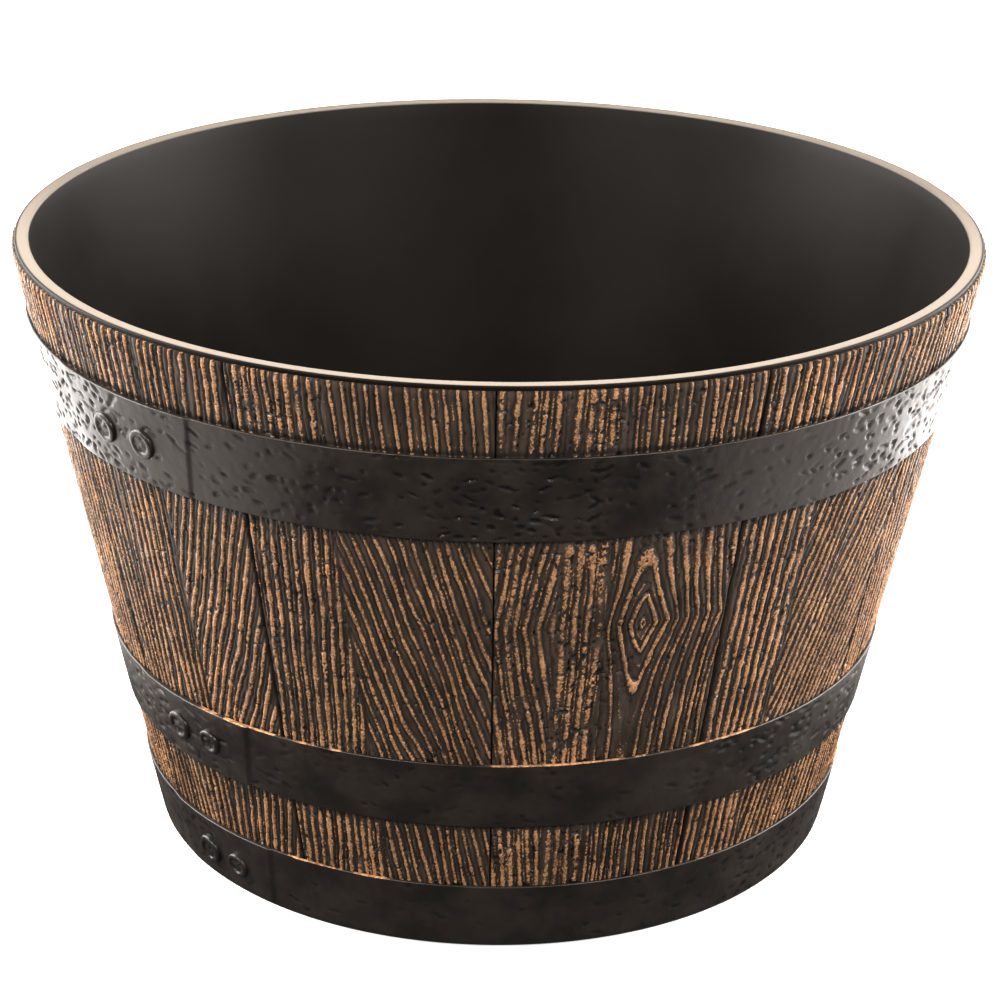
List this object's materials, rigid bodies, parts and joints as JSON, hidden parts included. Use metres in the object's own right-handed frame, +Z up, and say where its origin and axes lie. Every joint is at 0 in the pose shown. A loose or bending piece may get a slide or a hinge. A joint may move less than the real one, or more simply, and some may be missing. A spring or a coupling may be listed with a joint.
{
  "type": "flower pot",
  "caption": "Tapered half-barrel flower pot in resin: wood-grain staves and lapped, riveted hoops on a lipped shell, with a drain plug that pulls out.",
  "frame": {"origin": "middle of the base, on the floor", "axes": "+Z up along the pot's axis, -Y towards the front, +X to the viewer's right"},
  "size_m": [0.397, 0.397, 0.2585],
  "materials": {
    "shell": "satin, dark warm brown resin",
    "stave": "dark brown wood grain with dry-brushed copper lines",
    "hoop": "satin, near-black, hammered like wrought iron",
    "rivet": "satin, near-black",
    "plug": "matt black rubber"
  },
  "bodies": {
    "pot": {"pot_shell": "shell", "stave_01": "stave", "stave_02": "stave", "stave_03": "stave", "stave_04": "stave", "stave_05": "stave", "stave_06": "stave", "stave_07": "stave", "stave_08": "stave", "stave_09": "stave", "stave_10": "stave", "stave_11": "stave", "stave_12": "stave", "top_hoop": "hoop", "middle_hoop": "hoop", "base_hoop": "hoop", "top_hoop_rivets": "rivet", "middle_hoop_rivets": "rivet", "base_hoop_rivets": "rivet"},
    "plug": {"drain_plug": "plug"}
  },
  "joints": [
    {"name": "plug_lift", "type": "slide", "parent": "pot", "child": "plug", "axis": [0, 0, 1], "range_m": [0, 0.03]}
  ]
}
